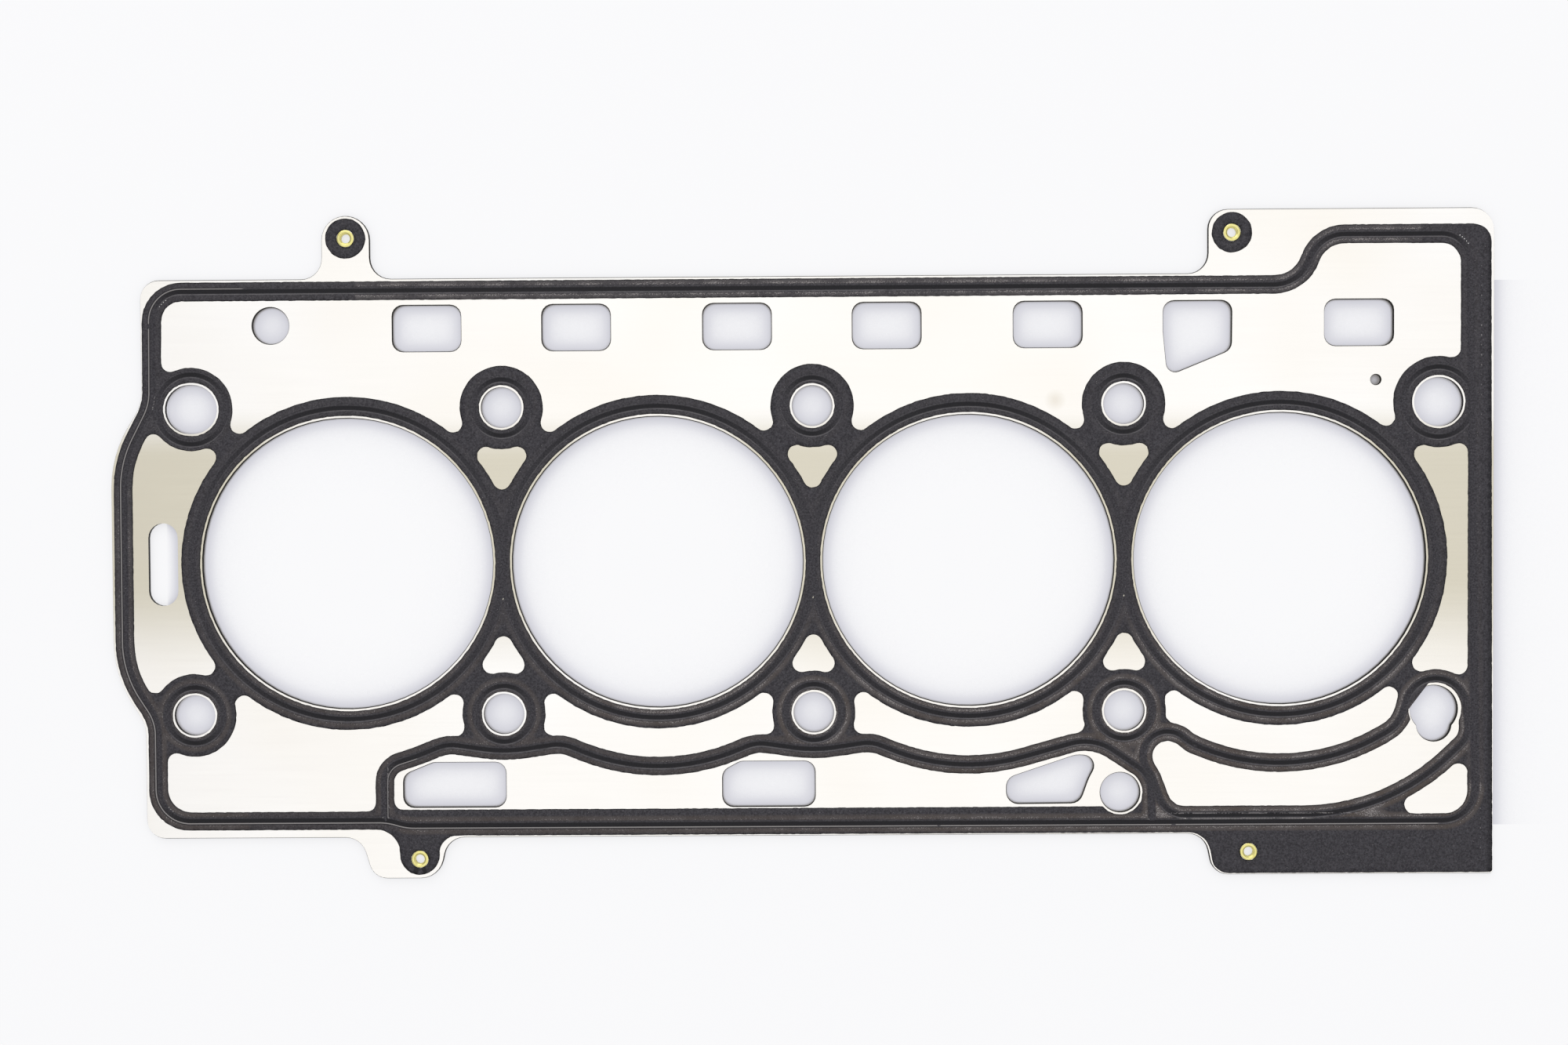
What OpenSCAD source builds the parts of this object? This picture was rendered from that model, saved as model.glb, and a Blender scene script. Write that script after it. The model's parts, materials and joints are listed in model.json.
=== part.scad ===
// Multi-layer cylinder head gasket for a four-bore engine, in millimetres.
// X runs along the bore row, Y across it and Z is up. The middle of the bore row is at X 0, Y 0.
// The gasket lies flat on Z 0, where the lower flanges of its four eyelets touch the table.

/* [Bores and bolts] */
// Distance between neighbouring bore centres
bore_pitch = 82; // [81:0.5:84]
// Radius of the bore openings in the two bead layers
bore_radius = 38.6; // [37:0.1:39]
// Height of the upper bolt row above the bore row
bolts_up = 41; // [40.5:0.5:42]
// Depth of the lower bolt row below the bore row
bolts_down = 40; // [39.5:0.5:41]
// Radius of the bolt holes
bolt_radius = 5.4; // [4.5:0.1:5.7]
// Radius of the dowel hole at the right end of the upper row
dowel_radius = 6.5; // [6:0.1:6.8]
// Half the length by which the left dowel hole is slotted along the bore row
dowel_slot = 0.4; // [0.1:0.1:0.8]

/* [Sheets] */
// Thickness of each bead layer
sheet = 0.25; // [0.2:0.05:0.4]
// Thickness of the plain middle layer
carrier = 0.4; // [0.3:0.05:0.8]
// How far the middle layer reaches past the edges of the bead layers
carrier_lip = 0.2; // [0.1:0.05:0.4]
// Height of the pressed beads
bead_height = 0.2; // [0.15:0.05:0.3]
// Width of a bead where it meets the flat sheet
bead_width = 2; // [1.6:0.1:2.2]
// Width of the flat crest of a bead
bead_crest = 1; // [0.6:0.1:1.2]

/* [Seal print] */
// Thickness of the rubber film
film = 0.05; // [0.03:0.01:0.08]
// Width of the printed bands
band = 4.9; // [4.5:0.1:5.1]
// Width of the bare steel left between a hole and its printed ring
bare = 0.5; // [0.3:0.05:0.8]
// Radius of the rounded ends of the bare fields between two bands
tip = 2.4; // [1.8:0.1:2.5]
// Outer radius of the printed ring round a bolt hole
bolt_ring = 11; // [10.5:0.1:11.5]

/* [Outline] */
// Upper edge of the sheet above the bore row
edge_up = 74.9; // [74:0.1:77]
// Lower edge of the sheet below the bore row
edge_down = 72.6; // [72:0.1:74]
// Top of the right shoulder above the bore row
shoulder_up = 91.7; // [90:0.1:94]
// Bottom of the two lower tabs below the bore row
tabs_down = 83.5; // [83:0.1:86]
// Reach of the left edge past the left bolt column
reach_left = 13; // [13:0.1:14]
// Reach of the right edge past the right bolt column
reach_right = 15.2; // [15:0.1:17]
// How far the left edge bulges out beside the end bore
bulge = 8.3; // [7:0.1:9]

/* [Windows] */
// Width of the rectangular windows above the bores
window_width = 18.4; // [16:0.1:19]
// Height of the rectangular windows above the bores
window_height = 12.5; // [10:0.1:13]
// Height of the centre line of the windows above the bore row
window_up = 61.95; // [61:0.1:63]
// Corner radius of the windows
window_corner = 3; // [1.5:0.1:4]

/* [Eyelets] */
// Radius of the hole through an eyelet
eyelet_bore = 1.2; // [1:0.1:1.3]
// Wall thickness of an eyelet
eyelet_wall = 0.2; // [0.15:0.05:0.25]
// Radius of the two flanges of an eyelet
eyelet_flange = 2.25; // [1.9:0.05:2.4]
// Gap between an eyelet and the sheets round it
eyelet_clearance = 0.05; // [0.02:0.01:0.1]
// Radius of the printed disc round the eyelets in the upper tabs
eyelet_disc = 5.3; // [5:0.1:5.5]

/* [Hidden] */

// Circles are exact; this is the number of flats where one is cut into a printed outline
$fn = 72;
// How far the flats of an outline may cut inside the true arc
sag = 0.04;
// Small overlap that keeps a cutting body clear of the face it cuts
over = 1;
// Neighbouring stretches of a bead differ by this much all round, and run this far into each other
joint_step = 0.01;
joint_overlap = 0.2;
// How much slimmer than the full bead a profile is drawn
$slim = 0;

// Heights of the stack, from the table upwards
z_film_low = eyelet_wall - film;
z_sheet_low = z_film_low + film;
z_carrier = z_sheet_low + sheet + bead_height;
z_sheet_up = z_carrier + carrier + bead_height;
z_face_up = z_sheet_up + sheet;

// Bore centres, bolt columns and the four holes at the ends
bores = [for (i = [-1.5 : 1.5]) i * bore_pitch];
columns = [for (i = [-1 : 1]) i * bore_pitch];
left = -2 * bore_pitch;
right = 2 * bore_pitch;
dowel_right = right + 0.8;

// Edges of the sheet
x_left = left - reach_left;
x_right = right + reach_right;
x_bulge = x_left - bulge;

// Places along the bore row of the six rectangular windows
windows = [
    columns[0] - 19.5,
    bores[1] - 21.05,
    columns[1] - 19.65,
    columns[1] + 19.75,
    bores[2] + 21.1,
    bores[3] + 20.85
];

// Centres of the eyelets
eyelets = [
    [bores[0] + 0.3, edge_up + 10.8],
    [columns[2] + 28.5, shoulder_up - 5.95],
    [columns[0] - 22.7, -tabs_down + 4.95],
    [columns[2] + 32.8, -tabs_down + 5.9]
];

// Every outline below is a belt round a list of circles [x, y, radius].
// The belt turns left round a positive radius and right round a negative one,
// so adding a distance to every radius gives the parallel line at that distance.

// Edge of the bead layers, from the lower left corner anticlockwise
sheet_belt = [
    [x_left + 4.8, -edge_down + 4.8, 4.8],
    [columns[0] - 42.4, -edge_down - 5.7, -5.7],
    [columns[0] - 31.4, -tabs_down + 4.7, 4.7],
    [columns[0] - 22.5, -tabs_down + 6, 6],
    [columns[0] - 10.7, -edge_down - 5.7, -5.7],
    [columns[2] + 16.7, -edge_down - 5.7, -5.7],
    [columns[2] + 27.4, -tabs_down + 4.7, 4.7],
    [x_right - 0.5, -tabs_down + 0.5, 0.5],
    [x_right - 5.8, shoulder_up - 5.8, 5.8],
    [columns[2] + 27.4, shoulder_up - 5, 5],
    [columns[2] + 16.9, edge_up + 5.5, -5.5],
    [eyelets[0].x + 11.9, edge_up + 5.7, -5.7],
    [eyelets[0].x, eyelets[0].y - 0.4, 6.2],
    [eyelets[0].x - 11.9, edge_up + 5.7, -5.7],
    [x_left + 4.8, edge_up - 4.8, 4.8],
    [x_left - 11.7, 45.7, -11.7],
    [x_bulge + 31.6, 20, 31.6],
    [x_bulge + 30.5, -20.4, 30.5],
    [x_left - 9.4, -45.2, -9.4]
];

// Middle of the printed band that follows the edge of the sheet
frame_belt = [
    [x_left + 11.4, -edge_down + 12.8, 8.3],
    [bores[0] + 7.6, -edge_down - 10.5, -15],
    [bores[0] + 17, -edge_down + 17.5, 14.5],
    [right + 2, -edge_down + 11.6, 8.6],
    [right + 1.5, shoulder_up - 14.1, 7.5],
    [bores[3] + 17.05, shoulder_up - 16.1, 9.5],
    [bores[3] - 1.4, edge_up + 7.15, -10.05],
    [x_left + 10.65, edge_up - 10.75, 7.85],
    [x_left - 11.8, 45.7, -14.45],
    [x_bulge + 31.6, 20, 28.5],
    [x_bulge + 30.5, -20.4, 27.5],
    [x_left - 9.4, -45.2, -12.5]
];

// Outer edge of the printed area
print_belt = [
    [x_left + 11.2, -edge_down + 12.6, 10.6],
    [columns[0] - 34.3, -edge_down - 4.4, -6.4],
    [columns[0] - 22.7, -tabs_down + 6, 5.25],
    [columns[0] - 12.8, -edge_down - 4.4, -4.7],
    [columns[2] + 16.9, -edge_down - 5.7, -5.9],
    [columns[2] + 27.5, -tabs_down + 4.7, 4.5],
    [x_right - 0.6, -tabs_down + 0.7, 0.5],
    [x_right - 5.4, shoulder_up - 8.8, 4.7],
    [bores[3] + 17.05, shoulder_up - 16.1, 12],
    [bores[3] - 1.4, edge_up + 7.15, -7.6],
    [x_left + 10.7, edge_up - 10.9, 10.4],
    [x_left - 11.8, 45.7, -12],
    [x_bulge + 31.6, 20, 31],
    [x_bulge + 30.5, -20.4, 30],
    [x_left - 9.4, -45.2, -10]
];

// Bare field inside the printed frame, left of the right end
field_belt = [
    [x_left + 11.8, -edge_down + 13, 6.2],
    [bores[0] + 7, -edge_down + 16.8, 10],
    [bores[0] + 11, -edge_down - 2.8, -10],
    [right + 2.55, -edge_down + 11.2, 4],
    [right + 1.55, shoulder_up - 14.1, 5],
    [bores[3] + 17.05, shoulder_up - 16.1, 7.1],
    [bores[3] - 1.4, edge_up + 7.2, -12.5],
    [x_left + 10.6, edge_up - 10.6, 5.15],
    [x_left - 11.8, 45.7, -16.95],
    [x_bulge + 31.6, 20, 26.05],
    [x_bulge + 30.5, -20.4, 25.05],
    [x_left - 9.4, -45.2, -15]
];

// Bare field beside the right end bore
end_belt = [
    [bores[3] + 20, -edge_down + 10.9, 6],
    [right + 2.5, -edge_down + 10.9, 6],
    [right + 2.5, 30, 6],
    [bores[3] + 20, 30, 6]
];

// Middle of the printed band that waves along under the bores, from the lower edge up and to the right
wave_under = 54.1;
wave_over = 10.5;
wave_side = 14;
wave_low = sqrt(pow(wave_under + wave_over + 0.05, 2) - pow(bore_pitch / 2 - wave_side, 2));
wave_strand = [
    [bores[0] + 9.2, -edge_down + 4.6, 0],
    [bores[0] + 14.8, -edge_down + 14.65, -5.6],
    for (i = [0 : 1]) each [
        [bores[i], 0, wave_under],
        [columns[i] - wave_side, -wave_low, -wave_over],
        [columns[i], -10, 39.75],
        [columns[i] + wave_side, -wave_low, -wave_over]
    ],
    [bores[2], 0, wave_under],
    [columns[2] - 10.5, -61.6, -13.4],
    [columns[2] - 1.15, -61.65, -8.2],
    [columns[2] + 7.3, -edge_down + 3.6, 0]
];

// Bare field under the right end bore, which the last band goes round
gallery_belt = [
    [bores[3] - 25.2, -60.9, 4.5],
    [bores[3] + 6.4, -12.4, 53],
    [right + 2.5, -45, 3.8],
    [right + 0.2, -bolts_down, 5.6],
    [bores[3] + 23.6, -37.9, -11.9],
    [bores[3], 0, -56.5],
    [bores[3] - 17.45, -38.75, -14],
    [bores[3] - 29.6, -52.1, 4],
    [columns[2] - 1.15, -61.65, -11.7]
];

// Pentagonal window right of the third upper window, and the window left of the round water hole
pentagon_belt = [
    [columns[2] + 13.6, 51.6, 2.5],
    [columns[2] + 25.5, 57, 3],
    [columns[2] + 25.6, 65.1, 3],
    [columns[2] + 13.3, 65.1, 3],
    [columns[2] + 13.3, 60, 3]
];
kidney_belt = [
    [columns[2] - 28, -61.4, 3.3],
    [columns[2] - 14.1, -61.3, 3.3],
    [columns[2] - 1.15, -61.65, -9],
    [columns[2] - 10.9, -54.6, 2.95],
    [columns[2] - 12, -57.5, 5.9],
    [columns[2] - 28, -60.1, 3.3]
];
// Two lower windows with a cut upper left corner
lower_left_belt = [
    [columns[0] - 24, -61.9, 3],
    [columns[0] - 2.5, -61.9, 3],
    [columns[0] - 2.5, -55.7, 3],
    [columns[0] - 18.3, -55.7, 3],
    [columns[0] - 24, -58, 3]
];
lower_middle_belt = [
    [columns[1] - 21.4, -62.1, 3],
    [columns[1] - 2.6, -62.1, 3],
    [columns[1] - 2.6, -55.8, 3],
    [columns[1] - 18.8, -55.8, 3],
    [columns[1] - 21.4, -57.2, 3]
];

// Direction of the straight line that leaves circle a and touches circle b
function heading(a, b) =
    let (reach = norm([b.x - a.x, b.y - a.y]))
    atan2(b.y - a.y, b.x - a.x) - asin(max(-1, min(1, (b.z - a.z) / reach)));

// Angle turned round a circle between two headings, a little under zero counting as none
function turned(from, to, radius) =
    let (angle = (radius < 0 ? from - to : to - from) + 1)
    angle - 360 * floor(angle / 360) - 1;

// Point where a belt with the given heading touches a circle
function touch(c, angle) = [c.x + c.z * sin(angle), c.y - c.z * cos(angle)];

// Number of flats for an arc
function flats(radius, angle) =
    max(1, ceil(angle / (2 * acos(1 - min(1, sag / max(abs(radius), sag))))));

// Points of the arc round one circle
function arc(c, from, angle) =
    let (n = flats(c.z, angle))
    [for (i = [0 : n]) touch(c, from + sign(c.z) * angle * i / n)];

// Headings between each circle and the next
function headings(circles) =
    let (n = len(circles))
    [for (i = [0 : n - 1]) heading(circles[i], circles[(i + 1) % n])];

// The same line moved sideways
function beside(circles, distance) = [for (c = circles) [c.x, c.y, c.z + distance]];

// Points of a closed belt
function belt(circles) =
    let (n = len(circles), h = headings(circles))
    [
        for (i = [0 : n - 1])
            let (from = h[(i + n - 1) % n])
            each arc(circles[i], from, turned(from, h[i], circles[i].z))
    ];

// Points of an open line, whose first and last circles are only its ends
function strand(circles) =
    let (n = len(circles), h = headings(circles))
    [
        touch(circles[0], h[0]),
        for (i = [1 : n - 2])
            each arc(circles[i], h[i - 1], turned(h[i - 1], h[i], circles[i].z)),
        touch(circles[n - 1], h[n - 2])
    ];

function backwards(points) = [for (i = [len(points) - 1 : -1 : 0]) points[i]];

// Band of the given width along an open line
module band_along(circles, width) {
    polygon(concat(strand(beside(circles, width / 2)), backwards(strand(beside(circles, -width / 2)))));
}

// Sweeps its child profile along a belt or, if it isn't closed, along an open line.
// Each stretch runs a little way into the next, whose profile is slimmer or fuller by $slim.
module sweep(circles, closed = true) {
    n = len(circles);
    h = headings(circles);
    for (i = [0 : closed ? n - 1 : n - 2]) {
        start = touch(circles[i], h[i]);
        run = norm(touch(circles[(i + 1) % n], h[i]) - start);
        $slim = 2 * joint_step;
        if (run > joint_step)
            translate([start.x, start.y, 0])
                rotate([90, 0, 90 + h[i]])
                    translate([0, 0, -joint_overlap])
                        linear_extrude(run + 2 * joint_overlap)
                            children();
    }
    for (i = [closed ? 0 : 1 : closed ? n - 1 : n - 2]) {
        from = h[(i + n - 1) % n];
        extra = joint_overlap / abs(circles[i].z) * 180 / PI;
        angle = max(0, turned(from, h[i], circles[i].z)) + 2 * extra;
        start = (circles[i].z > 0 ? from - 90 : h[i] + 90) - extra;
        $slim = i % 2 * joint_step;
        translate([circles[i].x, circles[i].y, 0])
            rotate([0, 0, start])
                rotate_extrude(angle = angle)
                    translate([abs(circles[i].z), 0])
                        children();
    }
}

// Puts a child at the four bores
module at_bores() {
    for (x = bores)
        translate([x, 0, 0])
            children();
}

// Puts a child at the seven bolt holes
module at_bolts() {
    for (x = columns)
        translate([x, bolts_up, 0])
            children();
    for (x = concat([left], columns))
        translate([x, -bolts_down, 0])
            children();
}

// Rounded rectangle round the origin
module rounded_window(width, height) {
    polygon(belt([
        for (c = [[-1, -1], [1, -1], [1, 1], [-1, 1]])
            [c.x * (width / 2 - window_corner), c.y * (height / 2 - window_corner), window_corner]
    ]));
}

// Slotted dowel hole at the left end of the upper row
module left_dowel(radius) {
    translate([left, bolts_up])
        polygon(belt([[-dowel_slot, 0, radius], [dowel_slot, 0, radius]]));
}

// Drain hole at the right end of the lower row, a large circle run into a smaller one
module drain_hole(radius) {
    translate([right - 0.4, -bolts_down])
        circle(radius);
    translate([right - 0.4, -bolts_down - 4])
        circle(radius - 1.7);
}

// Openings that every sheet has; those that no bolt or dowel goes through are grown by the given distance
module sheet_openings(grown = 0) {
    at_bores()
        circle(bore_radius + grown);
    at_bolts()
        circle(bolt_radius);
    left_dowel(dowel_radius);
    translate([dowel_right, bolts_up])
        circle(dowel_radius);
    drain_hole(dowel_radius - 0.1 + grown);
    for (x = windows)
        translate([x, window_up])
            rounded_window(window_width + 2 * grown, window_height + 2 * grown);
    for (circles = [pentagon_belt, kidney_belt, lower_left_belt, lower_middle_belt])
        polygon(belt(beside(circles, grown)));
    translate([bores[0] - 19.7, 62.9])
        circle(5 + grown);
    translate([columns[2] - 1.15, -61.65])
        circle(5.4 + grown);
    translate([bores[3] + 25.25, bolts_up + 5.9])
        circle(1.5 + grown);
    translate([x_left + 5.15, 0])
        polygon(belt([[0, -7, 3.9], [0, 7.1, 3.9]]));
}

// Cuts the holes for the four eyelets through its children
module punched(radius) {
    difference() {
        children();
        for (e = eyelets)
            translate([e.x, e.y, -over])
                cylinder(h = 2 * over, r = radius);
    }
}

// Flat shape of a sheet
module sheet_shape(grown = 0) {
    difference() {
        polygon(belt(beside(sheet_belt, grown)));
        sheet_openings(-grown);
    }
}

// Printed bands and rings before the bare fields get their rounded ends
module bands() {
    $fn = 60;
    difference() {
        polygon(belt(print_belt));
        polygon(belt(field_belt));
        polygon(belt(end_belt));
    }
    at_bores()
        circle(bore_radius + bare + band + 0.1);
    at_bolts()
        circle(bolt_ring);
    translate([left, bolts_up])
        circle(bolt_ring);
    translate([dowel_right, bolts_up])
        circle(bolt_ring + 1);
    band_along(wave_strand, band);
    difference() {
        polygon(belt(beside(gallery_belt, band)));
        polygon(belt(gallery_belt));
    }
}

// Shape of the seal print on one face
module print_shape() {
    difference() {
        offset(r = -tip, $fn = 20)
            offset(delta = tip)
                bands();
        at_bores()
            circle(bore_radius + bare);
        at_bolts()
            circle(bolt_radius + bare);
        left_dowel(dowel_radius + bare);
        translate([dowel_right, bolts_up])
            circle(dowel_radius + bare);
        translate([right - 0.1, -bolts_down])
            circle(dowel_radius + bare);
        translate([columns[2] - 1.15, -61.65])
            circle(5.4 + bare);
    }
    for (e = [eyelets[0], eyelets[1]])
        translate([e.x, e.y])
            circle(eyelet_disc);
}

// Cross-section of a pressed bead below the height given, open upwards by the amount given
module bead_profile(height, open) {
    edge = bead_width / 2 - $slim;
    crest = bead_crest / 2 - $slim;
    polygon([
        [-edge, height + open],
        [-edge, height],
        [-crest, height - bead_height + $slim],
        [crest, height - bead_height + $slim],
        [edge, height],
        [edge, height + open]
    ]);
}

// All the bead lines of one face, with the profile given as the child
module bead_lines() {
    at_bores()
        rotate_extrude()
            translate([bore_radius + 2.6, 0])
                children();
    at_bolts()
        rotate_extrude()
            translate([bolt_radius + 2, 0])
                children();
    for (x = [left, dowel_right])
        translate([x, bolts_up, 0])
            rotate_extrude()
                translate([dowel_radius + 2.7, 0])
                    children();
    sweep(frame_belt)
        children();
    sweep(wave_strand, closed = false)
        children();
    sweep(beside(gallery_belt, band / 2))
        children();
}

// A bead layer with its visible face up at Z 0
module bead_layer() {
    punched(eyelet_bore + eyelet_wall + eyelet_clearance)
        difference() {
            union() {
                translate([0, 0, -sheet])
                    linear_extrude(sheet)
                        sheet_shape();
                bead_lines()
                    bead_profile(-sheet, sheet / 2);
            }
            bead_lines()
                bead_profile(0, over);
        }
}

// A seal print on a face that is up at Z 0, following the beads down
module seal_print() {
    punched(eyelet_flange + eyelet_clearance)
        difference() {
            union() {
                linear_extrude(film)
                    print_shape();
                bead_lines()
                    bead_profile(0, film / 2);
            }
            bead_lines()
                bead_profile(film, over);
        }
}

module eyelet(place) {
    color("goldenrod")
        translate([place.x, place.y, 0])
            rotate_extrude()
                polygon([
                    [eyelet_bore, 0],
                    [eyelet_flange, 0],
                    [eyelet_flange, eyelet_wall],
                    [eyelet_bore + eyelet_wall, eyelet_wall],
                    [eyelet_bore + eyelet_wall, z_face_up],
                    [eyelet_flange, z_face_up],
                    [eyelet_flange, z_face_up + eyelet_wall],
                    [eyelet_bore, z_face_up + eyelet_wall]
                ]);
}

module top_bead_layer() {
    color("lightsteelblue")
        translate([0, 0, z_face_up])
            bead_layer();
}

module top_seal_print() {
    color("dimgray")
        translate([0, 0, z_face_up])
            seal_print();
}

module carrier_layer() {
    color("silver")
        translate([0, 0, z_carrier])
            punched(eyelet_bore + eyelet_wall + eyelet_clearance)
                linear_extrude(carrier)
                    sheet_shape(carrier_lip);
}

module bottom_bead_layer() {
    color("lightsteelblue")
        translate([0, 0, z_sheet_low])
            mirror([0, 0, 1])
                bead_layer();
}

module bottom_seal_print() {
    color("dimgray")
        translate([0, 0, z_sheet_low])
            mirror([0, 0, 1])
                seal_print();
}

top_bead_layer();
top_seal_print();
carrier_layer();
bottom_bead_layer();
bottom_seal_print();
eyelet(eyelets[0]);  // eyelet_upper_left
eyelet(eyelets[1]);  // eyelet_upper_right
eyelet(eyelets[2]);  // eyelet_lower_left
eyelet(eyelets[3]);  // eyelet_lower_right
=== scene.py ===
"""A four-bore cylinder head gasket, lying flat on a pale table and seen from straight above.

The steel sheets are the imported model's own. The two rubber prints are laid again here as fine skins
that dip over rounded beads and carry the wear of the real ones, and the four eyelets are turned
again with rolled flanges. Sizes are written in millimetres and turned to metres by MM.
"""

import json
import math

import bpy
import numpy as np
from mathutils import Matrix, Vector
from mathutils.bvhtree import BVHTree
from mathutils.geometry import delaunay_2d_cdt
from mathutils.kdtree import KDTree

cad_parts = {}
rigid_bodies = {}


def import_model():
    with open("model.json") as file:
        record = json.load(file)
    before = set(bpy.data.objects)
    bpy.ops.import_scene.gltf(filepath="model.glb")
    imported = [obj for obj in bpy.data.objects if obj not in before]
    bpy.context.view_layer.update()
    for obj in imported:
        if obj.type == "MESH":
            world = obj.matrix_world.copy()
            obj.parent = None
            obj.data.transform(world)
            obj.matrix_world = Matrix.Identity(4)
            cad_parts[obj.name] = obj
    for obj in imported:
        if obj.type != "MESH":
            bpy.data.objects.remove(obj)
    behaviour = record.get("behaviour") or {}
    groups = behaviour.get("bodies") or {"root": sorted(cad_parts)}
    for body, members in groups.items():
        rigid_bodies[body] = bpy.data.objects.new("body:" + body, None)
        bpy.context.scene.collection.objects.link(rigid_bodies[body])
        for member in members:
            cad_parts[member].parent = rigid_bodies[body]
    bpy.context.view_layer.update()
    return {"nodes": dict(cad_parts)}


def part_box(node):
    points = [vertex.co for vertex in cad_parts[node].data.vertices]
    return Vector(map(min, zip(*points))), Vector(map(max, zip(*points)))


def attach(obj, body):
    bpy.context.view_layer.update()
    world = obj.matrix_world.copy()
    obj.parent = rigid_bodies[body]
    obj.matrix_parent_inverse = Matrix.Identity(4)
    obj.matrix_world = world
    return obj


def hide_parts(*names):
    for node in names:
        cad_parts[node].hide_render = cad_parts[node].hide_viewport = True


MM = 0.001

for leftover in list(bpy.data.objects):
    bpy.data.objects.remove(leftover, do_unlink=True)

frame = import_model()


# ---- Paint shop ----

# A Mix node's two colours go in by number, because its other inputs share their names
UNDER, OVER = 6, 7


def linear(hex_colour):
    """Turns an sRGB hex colour such as "F2EEE4" into the linear colour that a shader wants."""
    parts = [int(hex_colour[i : i + 2], 16) / 255 for i in (0, 2, 4)]
    return (*[c / 12.92 if c <= 0.04045 else ((c + 0.055) / 1.055) ** 2.4 for c in parts], 1.0)


def add(tree, kind, feeds=None, **settings):
    """Adds one node with its settings. feeds gives its inputs: plain values, sockets, or nodes,
    whose first live output is taken."""
    made = tree.nodes.new("ShaderNode" + kind)
    for name, value in settings.items():
        setattr(made, name, value)
    for name, value in (feeds or {}).items():
        if isinstance(value, bpy.types.Node):
            value = next(outlet for outlet in value.outputs if outlet.enabled)
        if isinstance(value, bpy.types.NodeSocket):
            tree.links.new(value, made.inputs[name])
        else:
            made.inputs[name].default_value = value
    return made


def new_finish(name):
    """A material with nothing in it yet, and its node tree."""
    finish = bpy.data.materials.new(name)
    finish.use_nodes = True
    finish.node_tree.nodes.clear()
    return finish, finish.node_tree


def cold_rolled_spring_steel():
    """Stainless spring steel strip, cold rolled and then stamped: a satin cream sheet with long
    faint roll streaks, warm drifts across it, a belt of painted shade along the bore row, and
    sheared edges darkened with painted shade."""
    finish, tree = new_finish("cold_rolled_spring_steel")
    surface = add(tree, "NewGeometry").outputs
    place = surface["Position"]
    spot = add(tree, "SeparateXYZ", {"Vector": place}).outputs

    # Roll streaks are a few hundredths of a millimetre wide on the real strip. These are 0.5 mm
    # wide and 25 mm long, as coarse as they need to be to show.
    streak_scale = (1 / (25 * MM), 1 / (0.5 * MM), 1)
    along_roll = add(tree, "Mapping", {"Vector": place, "Scale": streak_scale})
    streaks = add(tree, "TexNoise", {"Vector": along_roll, "Scale": 1.0, "Detail": 4.0})
    # Orange-peel grain of the last light rolling, drawn 0.6 mm across
    grain = add(tree, "TexNoise", {"Vector": place, "Scale": 1 / (0.6 * MM), "Detail": 3.0})

    # Warm drifts, about 60 mm across
    drift = add(tree, "TexNoise", {"Vector": place, "Scale": 1 / (60 * MM), "Detail": 2.0})
    drifted = add(tree, "MapRange", {"Value": drift, "From Min": 0.35, "From Max": 0.7})
    creams = {"Factor": drifted, UNDER: linear("FEFCF7"), OVER: linear("FBF7EE")}
    cream = add(tree, "Mix", creams, data_type="RGBA")

    # Painted shade: a darker beige belt along the bore row, where the steel reflects less of the
    # lamps.
    # It fades out over these millimetres in Y, and the drift makes its edges wavy.
    wavy = add(tree, "Math", {0: drift, 1: 9 * MM, 2: spot["Y"]}, operation="MULTIPLY_ADD")
    above, below = (
        add(
            tree,
            "MapRange",
            {"Value": wavy, "From Min": clean * MM, "From Max": full * MM},
            interpolation_type="SMOOTHSTEP",
        )
        for clean, full in ((45.5, 31.5), (-29, 1))
    )
    shade_belt = add(tree, "Math", {0: above, 1: below}, operation="MULTIPLY")
    shade_belt_tones = {"Factor": shade_belt, UNDER: cream, OVER: linear("D9D3C0")}
    shade_belted = add(tree, "Mix", shade_belt_tones, data_type="RGBA")

    # A tea-coloured handling stain, about 5 mm across, below the fifth upper window
    stain_middle = (64 * MM, 42 * MM, 1.5 * MM)
    from_stain = add(tree, "VectorMath", {0: place, 1: stain_middle}, operation="DISTANCE")
    stain_reach = {"From Min": 3 * MM, "From Max": 0.5 * MM, "To Max": 0.3}
    stain = add(tree, "MapRange", {"Value": from_stain.outputs["Value"], **stain_reach})
    stains = {"Factor": stain, UNDER: shade_belted, OVER: linear("CDBFA4")}
    stained = add(tree, "Mix", stains, data_type="RGBA")

    # Sheared edges face sideways and are rough and oily. Their near black is painted shade, for walls
    # that get little light.
    facing = add(tree, "SeparateXYZ", {"Vector": surface["Normal"]}).outputs
    up = add(tree, "Math", {0: facing["Z"]}, operation="ABSOLUTE")
    sheared = add(tree, "MapRange", {"Value": up, "From Min": 0.6, "From Max": 0.2})
    edges = {"Factor": sheared, UNDER: stained, OVER: linear("1C1A18")}
    side_shaded = add(tree, "Mix", edges, data_type="RGBA")

    rough = add(
        tree,
        "MapRange",
        {"Value": streaks, "From Min": 0.3, "From Max": 0.7, "To Min": 0.3, "To Max": 0.38},
    )
    bumps = add(tree, "Math", {0: streaks, 1: grain}, operation="ADD")
    bump = add(tree, "Bump", {"Height": bumps, "Strength": 0.12, "Distance": 0.02 * MM})
    steel = add(
        tree,
        "BsdfPrincipled",
        {"Base Color": side_shaded, "Metallic": 1.0, "Roughness": rough, "Normal": bump},
    )
    add(tree, "OutputMaterial", {"Surface": steel})
    return finish


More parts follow.
